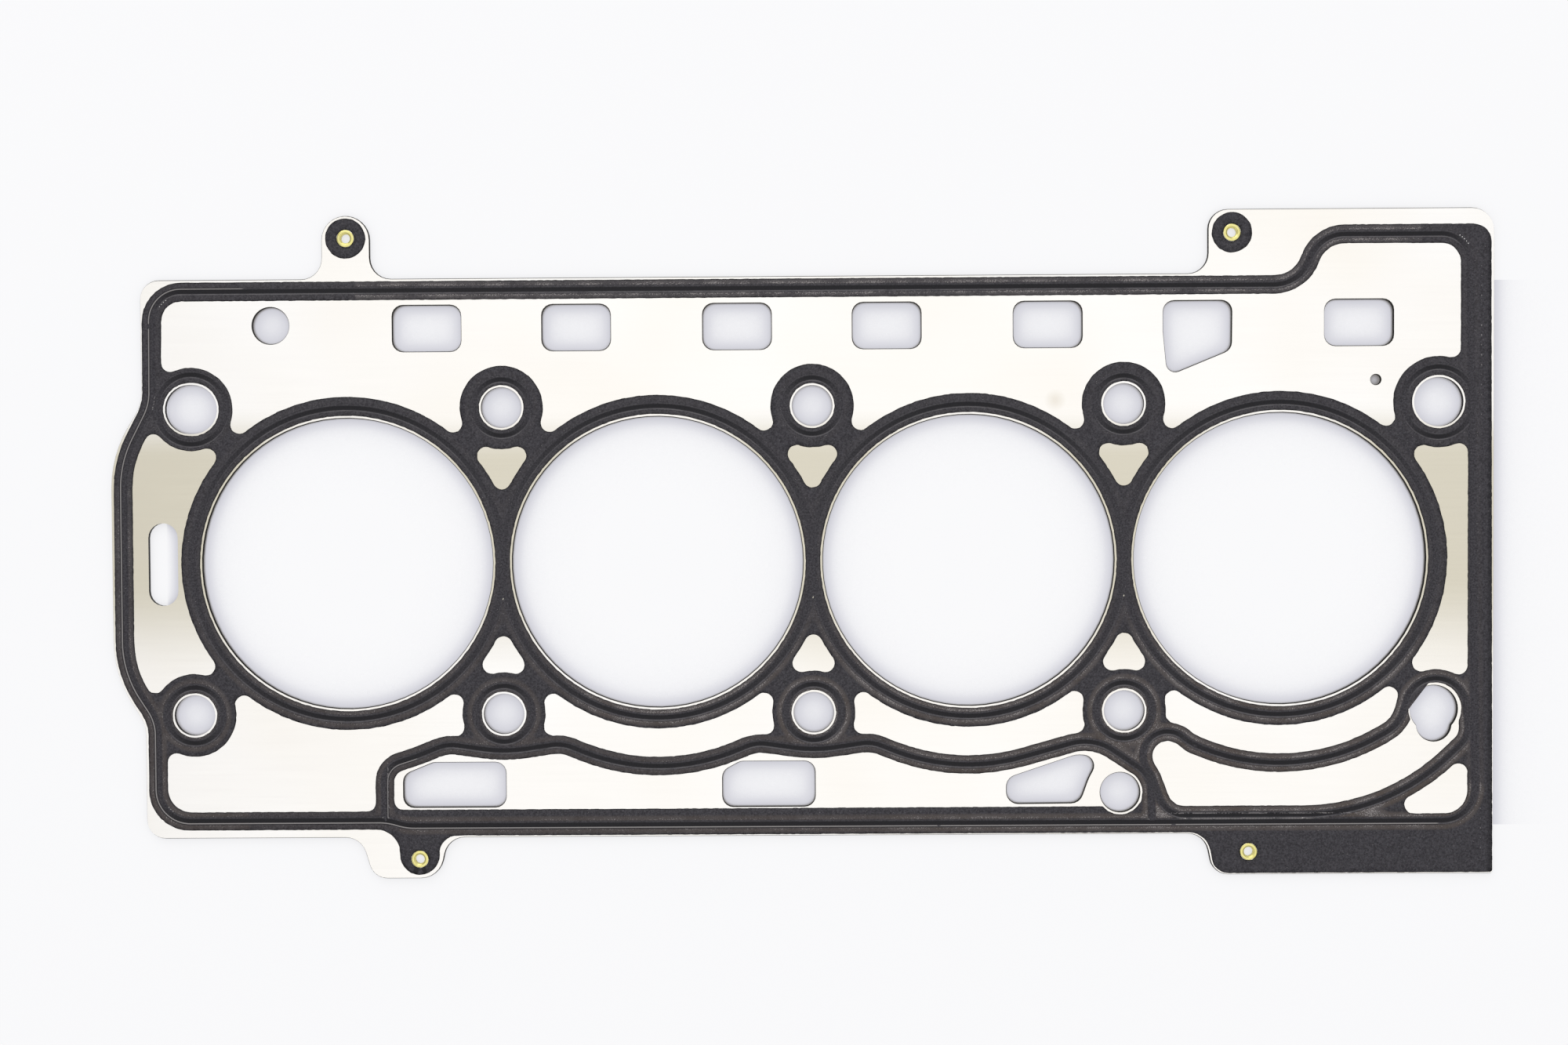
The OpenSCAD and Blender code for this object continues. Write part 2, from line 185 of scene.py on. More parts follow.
def zinc_coated_carrier_strip():
    """Zinc-coated mild steel strip, sheared: a thin line inside the bores and holes, painted dark as
    shade, dull with oil and finely torn at its edge."""
    finish, tree = new_finish("zinc_coated_carrier_strip")
    surface = add(tree, "NewGeometry").outputs
    # Tear marks of the shear run through the thickness, about 0.15 mm apart
    tear_scale = (1 / (0.15 * MM), 1 / (0.15 * MM), 1 / (2 * MM))
    across = add(tree, "Mapping", {"Vector": surface["Position"], "Scale": tear_scale})
    tears = add(tree, "TexNoise", {"Vector": across, "Scale": 1.0, "Detail": 2.0})
    # Its near-black tones are painted shade, for a wall that gets little light.
    torn_shade_tones = {"Factor": tears, UNDER: linear("24221F"), OVER: linear("141312")}
    torn = add(tree, "Mix", torn_shade_tones, data_type="RGBA")
    # The flat lip is zinc under oil. It is painted dark grey for the shadow of the sheet above it:
    # painted shade.
    facing = add(tree, "SeparateXYZ", {"Vector": surface["Normal"]}).outputs
    up = add(tree, "Math", {0: facing["Z"]}, operation="ABSOLUTE")
    flat = add(tree, "MapRange", {"Value": up, "From Min": 0.2, "From Max": 0.6})
    lip_shade_tones = {"Factor": flat, UNDER: torn, OVER: linear("4A4843")}
    colour = add(tree, "Mix", lip_shade_tones, data_type="RGBA")
    bump = add(tree, "Bump", {"Height": tears, "Strength": 0.3, "Distance": 0.03 * MM})
    steel = add(
        tree,
        "BsdfPrincipled",
        {"Base Color": colour, "Metallic": 1.0, "Roughness": 0.42, "Normal": bump},
    )
    add(tree, "OutputMaterial", {"Surface": steel})
    return finish


def drawn_brass():
    """Yellow brass, drawn into a tube and rolled over: bright lemon gold, dulled in patches."""
    finish, tree = new_finish("drawn_brass")
    place = add(tree, "NewGeometry").outputs["Position"]
    # Handling dulls it in patches about 0.8 mm across
    patches = add(tree, "TexNoise", {"Vector": place, "Scale": 1 / (0.8 * MM), "Detail": 3.0})
    golds = {"Factor": patches, UNDER: linear("FAF4B0"), OVER: linear("DDD070")}
    gold = add(tree, "Mix", golds, data_type="RGBA")
    rough = add(tree, "MapRange", {"Value": patches, "To Min": 0.16, "To Max": 0.34})
    brass = add(tree, "BsdfPrincipled", {"Base Color": gold, "Metallic": 1.0, "Roughness": rough})
    add(tree, "OutputMaterial", {"Surface": brass})
    return finish


def screen_printed_rubber():
    """Nitrile rubber, screen printed and cured: matt charcoal with the grain of the printing mesh.
    It is black down in the beads that run lengthwise, as painted shade, and their walls carry a
    painted highlight. It is rubbed pale in lines along their folds and in specks beside them, a
    little brown where it is thin, and darkest at its rim, as painted shade.
    The skin carries these in millimetres: bead_mm, how far a point lies from the middle of its
    bead; north_mm, the part of that in Y; rim_mm, how far from the rim; scuff_mm, from a scuff.
    It also carries lengthwise, 1 where the bead runs along X, and worn and hairline, 0 to 1."""
    finish, tree = new_finish("screen_printed_rubber")
    place = add(tree, "NewGeometry").outputs["Position"]
    spot = add(tree, "SeparateXYZ", {"Vector": place}).outputs
    labels = ("bead_mm", "north_mm", "lengthwise", "worn", "hairline", "rim_mm", "scuff_mm")
    bead, north, lengthwise, worn, hairline, rim, scuff = (
        add(tree, "Attribute", attribute_name=label).outputs["Fac"] for label in labels
    )
    # Millimetres from the middle of the bead to the fold, and to the hairline on its wall
    fold_at, hairline_at = 1.2, 0.72
    # Half the widths, in millimetres, of the hairline, of its dark flanks and of a scuff
    core_half, flank_half, scuff_half = 0.13, 0.34, 0.16

    # The printing mesh has threads 0.15 mm apart. Its grain is drawn 0.45 mm across, so that it
    # shows.
    grain = add(
        tree,
        "TexNoise",
        {"Vector": place, "Scale": 1 / (0.45 * MM), "Detail": 3.0, "Roughness": 0.7},
    )
    # Clouds of wear, 6 mm across, and the breaks in a rubbed line, 3 mm apart
    clouds = add(tree, "TexNoise", {"Vector": place, "Scale": 1 / (6 * MM), "Detail": 3.0})
    breaks = add(tree, "TexNoise", {"Vector": place, "Scale": 1 / (3 * MM), "Detail": 2.0})
    # Specks of bare filler: the real ones are 0.1 mm across and these 0.25 mm
    flecks = add(tree, "TexNoise", {"Vector": place, "Scale": 1 / (0.25 * MM), "Detail": 1.0})

    grained = add(tree, "MapRange", {"Value": grain, "From Min": 0.36, "From Max": 0.66})
    charcoals = {"Factor": grained, UNDER: linear("272529"), OVER: linear("4B494D")}
    film = add(tree, "Mix", charcoals, data_type="RGBA")

    # It lies thick and darker in a strip along the right edge
    thick = add(
        tree,
        "MapRange",
        {"Value": spot["X"], "From Min": 177.4 * MM, "From Max": 178 * MM, "To Max": 0.45},
    )
    thick_tones = {"Factor": thick, UNDER: film, OVER: linear("1B1A1D")}
    film = add(tree, "Mix", thick_tones, data_type="RGBA")

    # Brown where the film is thin: beside the beads, most of all in the lower half
    past_fold = add(tree, "MapRange", {"Value": bead, "From Min": 0.9, "From Max": 1.3})
    near_bead = add(tree, "MapRange", {"Value": bead, "From Min": 2.6, "From Max": 1.9})
    beside = add(tree, "Math", {0: past_fold, 1: near_bead}, operation="MULTIPLY")
    shoulder = add(tree, "Math", {0: beside, 1: worn}, operation="MULTIPLY")
    low_half = add(
        tree,
        "MapRange",
        {
            "Value": spot["Y"],
            "From Min": 20 * MM,
            "From Max": -60 * MM,
            "To Min": 0.05,
            "To Max": 0.75,
        },
    )
    thin = add(tree, "Math", {0: low_half, 1: shoulder}, operation="MULTIPLY")
    browns = {"Factor": thin, UNDER: film, OVER: linear("54473B")}
    browned = add(tree, "Mix", browns, data_type="RGBA")

    # Pale and cloudy on the worn shoulders
    cloudy = add(
        tree,
        "MapRange",
        {"Value": clouds, "From Min": 0.3, "From Max": 0.65, "To Min": 0.25, "To Max": 0.95},
    )
    pale = add(tree, "Math", {0: shoulder, 1: cloudy}, operation="MULTIPLY")
    pales = {"Factor": pale, UNDER: browned, OVER: linear("5A5656")}
    paled = add(tree, "Mix", pales, data_type="RGBA")

    # Specks crowd along the fold and thin out beside it
    off_fold = add(tree, "Math", {0: bead, 1: fold_at}, operation="SUBTRACT")
    fold_distance = add(tree, "Math", {0: off_fold}, operation="ABSOLUTE")
    at_fold = add(
        tree,
        "MapRange",
        {"Value": fold_distance, "From Min": 0.7, "From Max": 0.15, "To Min": 0.25},
    )
    crowd = add(tree, "Math", {0: at_fold, 1: pale}, operation="MULTIPLY")
    bar = add(
        tree,
        "MapRange",
        {"Value": crowd, "From Min": 0.0, "From Max": 0.7, "To Min": 0.77, "To Max": 0.51},
    )
    flecked = add(tree, "Math", {0: flecks, 1: bar}, operation="GREATER_THAN")
    specks = {"Factor": flecked, UNDER: paled, OVER: linear("8C8785")}
    specked = add(tree, "Mix", specks, data_type="RGBA")

    # Painted shade: the floor of a lengthwise bead is in the lee of the light, and painted dark
    lee = add(tree, "MapRange", {"Value": bead, "From Min": 0.72, "From Max": 0.4})
    along_x = add(tree, "Math", {0: lengthwise, 1: 2.0}, operation="POWER")
    sunk = add(tree, "Math", {0: lee, 1: along_x}, operation="MULTIPLY")
    hollow = add(tree, "Math", {0: sunk, 1: 0.88}, operation="MULTIPLY")
    hollows = {"Factor": hollow, UNDER: specked, OVER: linear("121114")}
    lee_shaded = add(tree, "Mix", hollows, data_type="RGBA")

    # Painted highlight: its walls catch the light, the one at its -Y side most, broken in lines where
    # they are rubbed
    wall_foot = add(tree, "MapRange", {"Value": bead, "From Min": 0.55, "From Max": 0.7})
    wall_top = add(tree, "MapRange", {"Value": bead, "From Min": 0.95, "From Max": 0.8})
    wall = add(tree, "Math", {0: wall_foot, 1: wall_top}, operation="MULTIPLY")
    sunny = add(
        tree,
        "MapRange",
        {"Value": north, "From Min": 0.3, "From Max": -0.7, "To Min": 0.25, "To Max": 0.8},
    )
    broken = add(
        tree, "MapRange", {"Value": breaks, "From Min": 0.3, "From Max": 0.6, "To Min": 0.35}
    )
    sunny_wall = add(tree, "Math", {0: wall, 1: sunny}, operation="MULTIPLY")
    broken_wall = add(tree, "Math", {0: sunny_wall, 1: broken}, operation="MULTIPLY")
    lit = add(tree, "Math", {0: broken_wall, 1: lengthwise}, operation="MULTIPLY")
    walls = {"Factor": lit, UNDER: lee_shaded, OVER: linear("6A6768")}
    wall_highlighted = add(tree, "Mix", walls, data_type="RGBA")

    # A hairline is rubbed along the outer fold of the long beads, between dark flanks
    past_line = add(tree, "Math", {0: bead, 1: hairline_at}, operation="SUBTRACT")
    off_line = add(tree, "Math", {0: past_line}, operation="ABSOLUTE")
    lasting = add(tree, "Math", {0: hairline, 1: 0.3, 2: breaks}, operation="MULTIPLY_ADD")
    unbroken = add(tree, "Math", {0: lasting, 1: 0.58}, operation="GREATER_THAN")
    line = add(tree, "Math", {0: unbroken, 1: hairline}, operation="MULTIPLY")
    flank = add(tree, "Math", {0: off_line, 1: flank_half}, operation="LESS_THAN")
    flank_line = add(tree, "Math", {0: flank, 1: line}, operation="MULTIPLY")
    flank_depth = add(tree, "Math", {0: flank_line, 1: 0.8}, operation="MULTIPLY")
    flanks = {"Factor": flank_depth, UNDER: wall_highlighted, OVER: linear("121114")}
    flanked = add(tree, "Mix", flanks, data_type="RGBA")
    core = add(tree, "Math", {0: off_line, 1: core_half}, operation="LESS_THAN")
    core_line = add(tree, "Math", {0: core, 1: line}, operation="MULTIPLY")
    cores = {"Factor": core_line, UNDER: flanked, OVER: linear("8E8A88")}
    lined = add(tree, "Mix", cores, data_type="RGBA")

    # Scuffs: dashed speckled lines where another sheet has rubbed
    on_scuff = add(tree, "Math", {0: scuff, 1: scuff_half}, operation="LESS_THAN")
    patchy = add(tree, "Math", {0: breaks, 1: grain}, operation="ADD")
    dashed = add(
        tree, "MapRange", {"Value": patchy, "From Min": 0.9, "From Max": 1.1, "To Max": 0.8}
    )
    scraped = add(tree, "Math", {0: on_scuff, 1: dashed}, operation="MULTIPLY")
    scuffs = {"Factor": scraped, UNDER: lined, OVER: linear("8A8685")}
    scuffed = add(tree, "Mix", scuffs, data_type="RGBA")

    # The rim, where the film ends on the sheet, is painted dark for the shadow beside its edge:
    # painted shade
    rim_shade = add(tree, "MapRange", {"Value": rim, "From Min": 0.3, "From Max": 0.1, "To Max": 0.8})
    rim_shades = {"Factor": rim_shade, UNDER: scuffed, OVER: linear("161517")}
    rim_shaded = add(tree, "Mix", rim_shades, data_type="RGBA")

    rough = add(
        tree,
        "MapRange",
        {"Value": grain, "From Min": 0.2, "From Max": 0.8, "To Min": 0.42, "To Max": 0.6},
    )
    bump = add(tree, "Bump", {"Height": grain, "Strength": 0.4, "Distance": 0.03 * MM})
    rubber = add(
        tree,
        "BsdfPrincipled",
        {
            "Base Color": rim_shaded,
            "IOR": 1.5,
            "Specular IOR Level": 0.22,
            "Roughness": rough,
            "Normal": bump,
        },
    )
    add(tree, "OutputMaterial", {"Surface": rubber})
    return finish


def white_table():
    """A matt white laminate table. What the camera and shiny pieces see is lifted towards the white
    of a well lit table, and keeps a grey shade: deep in the openings, slight beside the sheet."""
    finish, tree = new_finish("white_table")
    matt = add(tree, "BsdfDiffuse", {"Color": linear("F4F4F9")})
    open_sky = add(tree, "AmbientOcclusion", {"Distance": 20 * MM}, samples=16).outputs["AO"]
    # The deep shade is kept to a strip of the table that holds all openings but the slot at the left
    # end, which light from the side reaches. Three of its edges lie under the sheet. It runs on past
    # the right end, where it makes the shade beside the sheet a little too deep.
    spot = add(
        tree, "SeparateXYZ", {"Vector": add(tree, "NewGeometry").outputs["Position"]}
    ).outputs
    in_length = add(
        tree, "MapRange", {"Value": spot["X"], "From Min": -171.5 * MM, "From Max": -168.5 * MM}
    )
    in_width = add(tree, "Math", {0: spot["Y"], 1: 1 * MM, 2: 72 * MM}, operation="COMPARE")
    inside = add(tree, "Math", {0: in_length, 1: in_width}, operation="MULTIPLY")
    power = add(tree, "MapRange", {"Value": inside, "To Min": 0.35, "To Max": 13.0})
    light = add(tree, "Math", {0: open_sky, 1: power}, operation="POWER")
    # The bottom of the smallest hole gets hardly any light. The eyelets' brass lights up theirs.
    pit = add(
        tree, "MapRange", {"Value": open_sky, "From Min": 0.6, "From Max": 0.4, "To Max": 0.9}
    )
    dark_pit = add(tree, "Math", {0: pit, 1: inside}, operation="MULTIPLY")
    shades = {"Factor": dark_pit, UNDER: linear("D4D4DC"), OVER: linear("75706B")}
    shade = add(tree, "Mix", shades, data_type="RGBA")
    tones = {"Factor": light, UNDER: shade, OVER: linear("FFFFFF")}
    tone = add(tree, "Mix", tones, data_type="RGBA")
    glow = add(tree, "Emission", {"Color": tone, "Strength": 1.0})
    rays = add(tree, "LightPath").outputs
    seen = add(
        tree, "Math", {0: rays["Is Camera Ray"], 1: rays["Is Glossy Ray"]}, operation="MAXIMUM"
    )
    lift = add(tree, "Math", {0: seen, 1: 0.78}, operation="MULTIPLY")
    lifted = add(tree, "MixShader", {0: lift, 1: matt, 2: glow})
    add(tree, "OutputMaterial", {"Surface": lifted})
    return finish


# ---- Beads ----
# Each bead's middle is a belt round rollers (x, y, radius) in millimetres, as in the part's source.
# A roller with a negative radius bends the belt the other way.

PITCH = 82
BORES = [-1.5 * PITCH, -0.5 * PITCH, 0.5 * PITCH, 1.5 * PITCH]
COLUMNS = [-PITCH, 0, PITCH]
LEFT, RIGHT = -2 * PITCH, 2 * PITCH
HOLES_UP, HOLES_DOWN = 41, -40
EDGE_UP, EDGE_DOWN, SHOULDER_UP = 74.9, 72.6, 91.7
X_LEFT = LEFT - 13
X_BULGE = X_LEFT - 8.3

BORE_RADIUS, BOLT_RADIUS, DOWEL_RADIUS = 38.6, 5.4, 6.5
BORE_BEAD, BOLT_BEAD, DOWEL_BEAD = BORE_RADIUS + 2.6, BOLT_RADIUS + 2, DOWEL_RADIUS + 2.7
BAND = 4.9

# The skin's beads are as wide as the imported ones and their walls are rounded. They are a little
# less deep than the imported 0.2 mm, so that the steel stays under the skin.
BEAD_HALF, BEAD_WALL, BEAD_DEPTH = 1.0, 0.55, 0.188

FRAME_ROLLERS = [
    (X_LEFT + 11.4, -EDGE_DOWN + 12.8, 8.3),
    (BORES[0] + 7.6, -EDGE_DOWN - 10.5, -15),
    (BORES[0] + 17, -EDGE_DOWN + 17.5, 14.5),
    (RIGHT + 2, -EDGE_DOWN + 11.6, 8.6),
    (RIGHT + 1.5, SHOULDER_UP - 14.1, 7.5),
    (BORES[3] + 17.05, SHOULDER_UP - 16.1, 9.5),
    (BORES[3] - 1.4, EDGE_UP + 7.15, -10.05),
    (X_LEFT + 10.65, EDGE_UP - 10.75, 7.85),
    (X_LEFT - 11.8, 45.7, -14.45),
    (X_BULGE + 31.6, 20, 28.5),
    (X_BULGE + 30.5, -20.4, 27.5),
    (X_LEFT - 9.4, -45.2, -12.5),
]
WAVE_UNDER, WAVE_OVER, WAVE_SIDE = 54.1, 10.5, 14
WAVE_LOW = math.sqrt((WAVE_UNDER + WAVE_OVER + 0.05) ** 2 - (PITCH / 2 - WAVE_SIDE) ** 2)
WAVE_ROLLERS = [
    (BORES[0] + 9.2, -EDGE_DOWN + 4.6, 0),
    (BORES[0] + 14.8, -EDGE_DOWN + 14.65, -5.6),
    (BORES[0], 0, WAVE_UNDER),
    (COLUMNS[0] - WAVE_SIDE, -WAVE_LOW, -WAVE_OVER),
    (COLUMNS[0], -10, 39.75),
    (COLUMNS[0] + WAVE_SIDE, -WAVE_LOW, -WAVE_OVER),
    (BORES[1], 0, WAVE_UNDER),
    (COLUMNS[1] - WAVE_SIDE, -WAVE_LOW, -WAVE_OVER),
    (COLUMNS[1], -10, 39.75),
    (COLUMNS[1] + WAVE_SIDE, -WAVE_LOW, -WAVE_OVER),
    (BORES[2], 0, WAVE_UNDER),
    (COLUMNS[2] - 10.5, -61.6, -13.4),
    (COLUMNS[2] - 1.15, -61.65, -8.2),
    (COLUMNS[2] + 7.3, -EDGE_DOWN + 3.6, 0),
]
# This belt is the inner edge of the gallery's band, and its bead runs half a band outside it
GALLERY_ROLLERS = [
    (BORES[3] - 25.2, -60.9, 4.5),
    (BORES[3] + 6.4, -12.4, 53),
    (RIGHT + 2.5, -45, 3.8),
    (RIGHT + 0.2, -40, 5.6),
    (BORES[3] + 23.6, -37.9, -11.9),
    (BORES[3], 0, -56.5),
    (BORES[3] - 17.45, -38.75, -14),
    (BORES[3] - 29.6, -52.1, 4),
    (COLUMNS[2] - 1.15, -61.65, -11.7),
]

# Scuffs where another sheet has rubbed, drawn as belts too: one in the inner corner of the wave
# bead and on along the lower band, and one beside the right edge
SCUFFS = [
    [(-113, -50, 0), (-109.4, -63.2, 3.6), (160, -67.5, 0)],
    [(RIGHT + 12, -80, 0), (RIGHT + 12.1, 0, 0.1), (RIGHT + 11.8, 86, 0)],
]

# A belt may turn back this far on a roller that it only grazes, in radians
GRAZE = 0.02


def heading(a, b):
    """Direction of the straight run of belt that leaves roller a and meets roller b."""
    reach = math.hypot(b[0] - a[0], b[1] - a[1])
    slant = math.asin(max(-1, min(1, (b[2] - a[2]) / reach)))
    return math.atan2(b[1] - a[1], b[0] - a[0]) - slant


def touch(roller, angle):
    """Where a belt with that heading touches a roller."""
    x, y, radius = roller
    return np.array([x + radius * math.sin(angle), y - radius * math.cos(angle)])


def belt(rollers, pace, closed=True):
    """Points along a belt, at most pace apart. An open belt ends at its first and last roller."""
    count = len(rollers)
    ways = [heading(rollers[i], rollers[(i + 1) % count]) for i in range(count)]
    points = []
    for i, roller in enumerate(rollers):
        if closed or 0 < i < count - 1:
            came = ways[i - 1]
            side = 1 if roller[2] > 0 else -1
            turn = (side * (ways[i] - came) + GRAZE) % (2 * math.pi) - GRAZE
            steps = max(1, math.ceil(abs(turn * roller[2]) / pace))
            points += [touch(roller, came + side * turn * k / steps) for k in range(steps + 1)]
        if closed or i < count - 1:
            here, there = touch(roller, ways[i]), touch(rollers[(i + 1) % count], ways[i])
            steps = max(1, math.ceil(np.linalg.norm(there - here) / pace))
            points += [here + (there - here) * k / steps for k in range(steps + 1)]
    return np.array(points)


def ring(x, y, radius, pace):
    """Points round a circle, at most pace apart."""
    turn = np.arange(0, 2 * math.pi, pace / radius)
    return np.c_[x + radius * np.cos(turn), y + radius * np.sin(turn)]


def shifted(rollers, offset):
    """The rollers of a belt that runs beside another one at the offset."""
    return [(x, y, radius + offset) for x, y, radius in rollers]


def bead_lanes(offset, pace):
    """For each bead, the line that runs beside its middle at the offset: first the rings round the
    bores, bolt holes and dowel holes, then the frame, wave and gallery beads."""
    bolts = [(x, HOLES_UP) for x in COLUMNS] + [(x, HOLES_DOWN) for x in [LEFT, *COLUMNS]]
    lanes = [ring(x, 0, BORE_BEAD + offset, pace) for x in BORES]
    lanes += [ring(x, y, BOLT_BEAD + offset, pace) for x, y in bolts]
    lanes += [ring(x, HOLES_UP, DOWEL_BEAD + offset, pace) for x in (LEFT, RIGHT + 0.8)]
    lanes.append(belt(shifted(FRAME_ROLLERS, offset), pace))
    lanes.append(belt(shifted(WAVE_ROLLERS, offset), pace, closed=False))
    lanes.append(belt(shifted(GALLERY_ROLLERS, BAND / 2 + offset), pace))
    return lanes


FRAME_LANE, WAVE_LANE, GALLERY_LANE = 13, 14, 15  # after the 13 rings


def rubbed(lane, x, y):
    """How strongly the hairline and the specks show at a place beside a bead, each 0 to 1."""
    hairline = 0.0
    if lane == FRAME_LANE:
        left_end, low_side = x < -150, y < -60
        if left_end or (low_side and x < 165):
            hairline = 1.0
        if (low_side and -110 < x <= 20) or (left_end and y < 20):
            worn = 0.5
        elif low_side and x > 20:
            worn = 0.7
        elif y > 60 and -120 < x < 160:
            worn = 0.9
        else:
            worn = 0.15
    elif lane == WAVE_LANE:
        if x < -105:
            hairline = 0.9
        worn = 0.75 if x > 20 else 0.35
    elif lane == GALLERY_LANE:
        worn = 0.9
    else:
        # The rings are worn on their lower side, and less at the left end
        low_part = min(1, max(0, -y - 12) / 18)
        worn = 0.15 + (0.75 if x > -60 else 0.35) * low_part
    return hairline, worn


# ---- Rubber skins ----

# All in millimetres. The film is this thick, and its ragged rim has a point at each pace and
# wanders this far.
FILM = 0.05
RIM_PACE, RIM_WANDER = 0.33, 0.055
# The lines that distances are taken from have a point at each pace. A place nearer to a line this
# far outside a bead's middle than to the middle lies on the bead's outer side.
LINE_PACE, SCUFF_PACE = 0.1, 0.15
OUTER_OFFSET = 0.3
# The skin's points lie in rows along the beads, closest together over the walls, and on a grid
# elsewhere. Rows and grid keep clear of the rim, the grid of the beads too, and a row of any bead
# that it would cross.
BEAD_ROWS = (0, 0.3, -0.3, 0.45, -0.45, 0.6, -0.6, 0.75, -0.75, 0.9, -0.9, 1.05, -1.05, 1.35, -1.35)
ROW_PACE, ROW_FROM_RIM, ROW_SLACK = 0.8, 0.22, 0.05
GRID_X, GRID_Y, GRID_FROM_BEAD, GRID_FROM_RIM = 1.5, 1.3, 1.9, 0.6
OFF_RIM = 0.2


def put_in_scene(name, data):
    """An object for a mesh, lamp or camera."""
    made = bpy.data.objects.new(name, data)
    bpy.context.scene.collection.objects.link(made)
    return made


def outline_of(node, facing):
    """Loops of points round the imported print, in millimetres, and a function that gives the height
    of its face at a place, or None beside it. facing is 1 for a print that looks up, else -1."""
    mesh = node.data
    keys = {}
    spots = np.array([v.co[:] for v in mesh.vertices]) / MM
    welded = [keys.setdefault(tuple(np.round(p, 4)), len(keys)) for p in spots]
    corners = np.array(list(keys))
    rounds = [[welded[v] for v in face.vertices] for face in mesh.polygons]
    cover = BVHTree.FromPolygons([Vector(p) for p in corners], rounds)
    well_outside = 9 * facing

    def height_at(x, y):
        hit = cover.ray_cast(Vector((x, y, well_outside)), Vector((0, 0, -facing)))[0]
        return None if hit is None else hit.z

    edges = {}
    for face, ids in zip(mesh.polygons, rounds):
        for a, b in zip(ids, ids[1:] + ids[:1]):
            edges.setdefault((min(a, b), max(a, b)), []).append(face.normal.z * facing)
    following = {}
    shortest, step_aside = 1e-4, 0.02
    for (a, b), ups in edges.items():
        # A rim lies between a face that looks out and a wall, and has print on one side only
        if max(ups) > 0.5 and min(abs(up) for up in ups) < 0.3:
            run = (corners[b] - corners[a])[:2]
            length = np.linalg.norm(run)
            if length < shortest:
                continue
            side = np.array([run[1], -run[0]]) / length * step_aside
            middle = (corners[a] + corners[b])[:2] / 2
            if (height_at(*(middle + side)) is None) != (height_at(*(middle - side)) is None):
                following.setdefault(a, []).append(b)
                following.setdefault(b, []).append(a)
    loops = []
    fewest_corners = 12
    while following:
        start = next(iter(following))
        walk, here = [start], start
        while following.get(here):
            there = following[here].pop()
            following[there].remove(here)
            walk.append(there)
            here = there
        following = {k: v for k, v in following.items() if v}
        if len(walk) > fewest_corners:
            loops.append(corners[walk][:, :2])
    return loops, height_at


def ragged(loop, noise):
    """The loop stepped out and in a little, three points at a time, as the printing mesh leaves its
    edge."""
    runs = np.r_[0, np.cumsum(np.linalg.norm(np.diff(loop, axis=0), axis=1))]
    steps = max(8, int(runs[-1] / RIM_PACE))
    marks = np.linspace(0, runs[-1], steps, endpoint=False)
    points = np.c_[np.interp(marks, runs, loop[:, 0]), np.interp(marks, runs, loop[:, 1])]
    sides = np.roll(points, -1, axis=0) - np.roll(points, 1, axis=0)
    lengths = np.maximum(np.linalg.norm(sides, axis=1), 1e-9)
    sides = np.c_[sides[:, 1], -sides[:, 0]] / lengths[:, None]
    wander = np.repeat(noise.uniform(-RIM_WANDER, RIM_WANDER, steps // 3 + 1), 3)[:steps]
    return points + sides * wander[:, None]


def dip(from_bead):
    """How deep the skin lies at a distance from the middle of a bead: rounded, never sharp."""
    depth = np.clip((BEAD_HALF - from_bead) / BEAD_WALL, 0, 1)
    return BEAD_DEPTH * depth * depth * (3 - 2 * depth)


def tree_of(points):
    """A search tree of flat points."""
    tree = KDTree(len(points))
    for i, (x, y) in enumerate(points):
        tree.insert((x, y, 0), i)
    tree.balance()
    return tree


def distance(tree, x, y):
    """How far a place is from the nearest point in a search tree."""
    return tree.find((x, y, 0))[2]


def skin_spots(low, high, rim_tree, middle_tree, height_at):
    """Where the skin's points go inside its rim: rows along the beads, then a grid."""
    spots = []
    for offset in BEAD_ROWS:
        for x, y in np.concatenate(bead_lanes(offset, ROW_PACE)):
            if (
                distance(middle_tree, x, y) > abs(offset) - ROW_SLACK
                and distance(rim_tree, x, y) > ROW_FROM_RIM
                and height_at(x, y)
            ):
                spots.append((x, y))
    for row, y in enumerate(np.arange(low[1] / MM, high[1] / MM, GRID_Y)):
        for x in np.arange(low[0] / MM + row % 2 * GRID_X / 2, high[0] / MM, GRID_X):
            if (
                distance(middle_tree, x, y) > GRID_FROM_BEAD
                and distance(rim_tree, x, y) > GRID_FROM_RIM
                and height_at(x, y)
            ):
                spots.append((x, y))
    return spots


def border_of(faces):
    """The edges that have a face on one side only."""
    edges = {}
    for face in faces:
        for a, b in zip(face, face[1:] + face[:1]):
            edges[(a, b)] = edges.get((a, b), 0) + 1
            edges[(b, a)] = edges.get((b, a), 0) - 1
    return [edge for edge, count in edges.items() if count == 1]


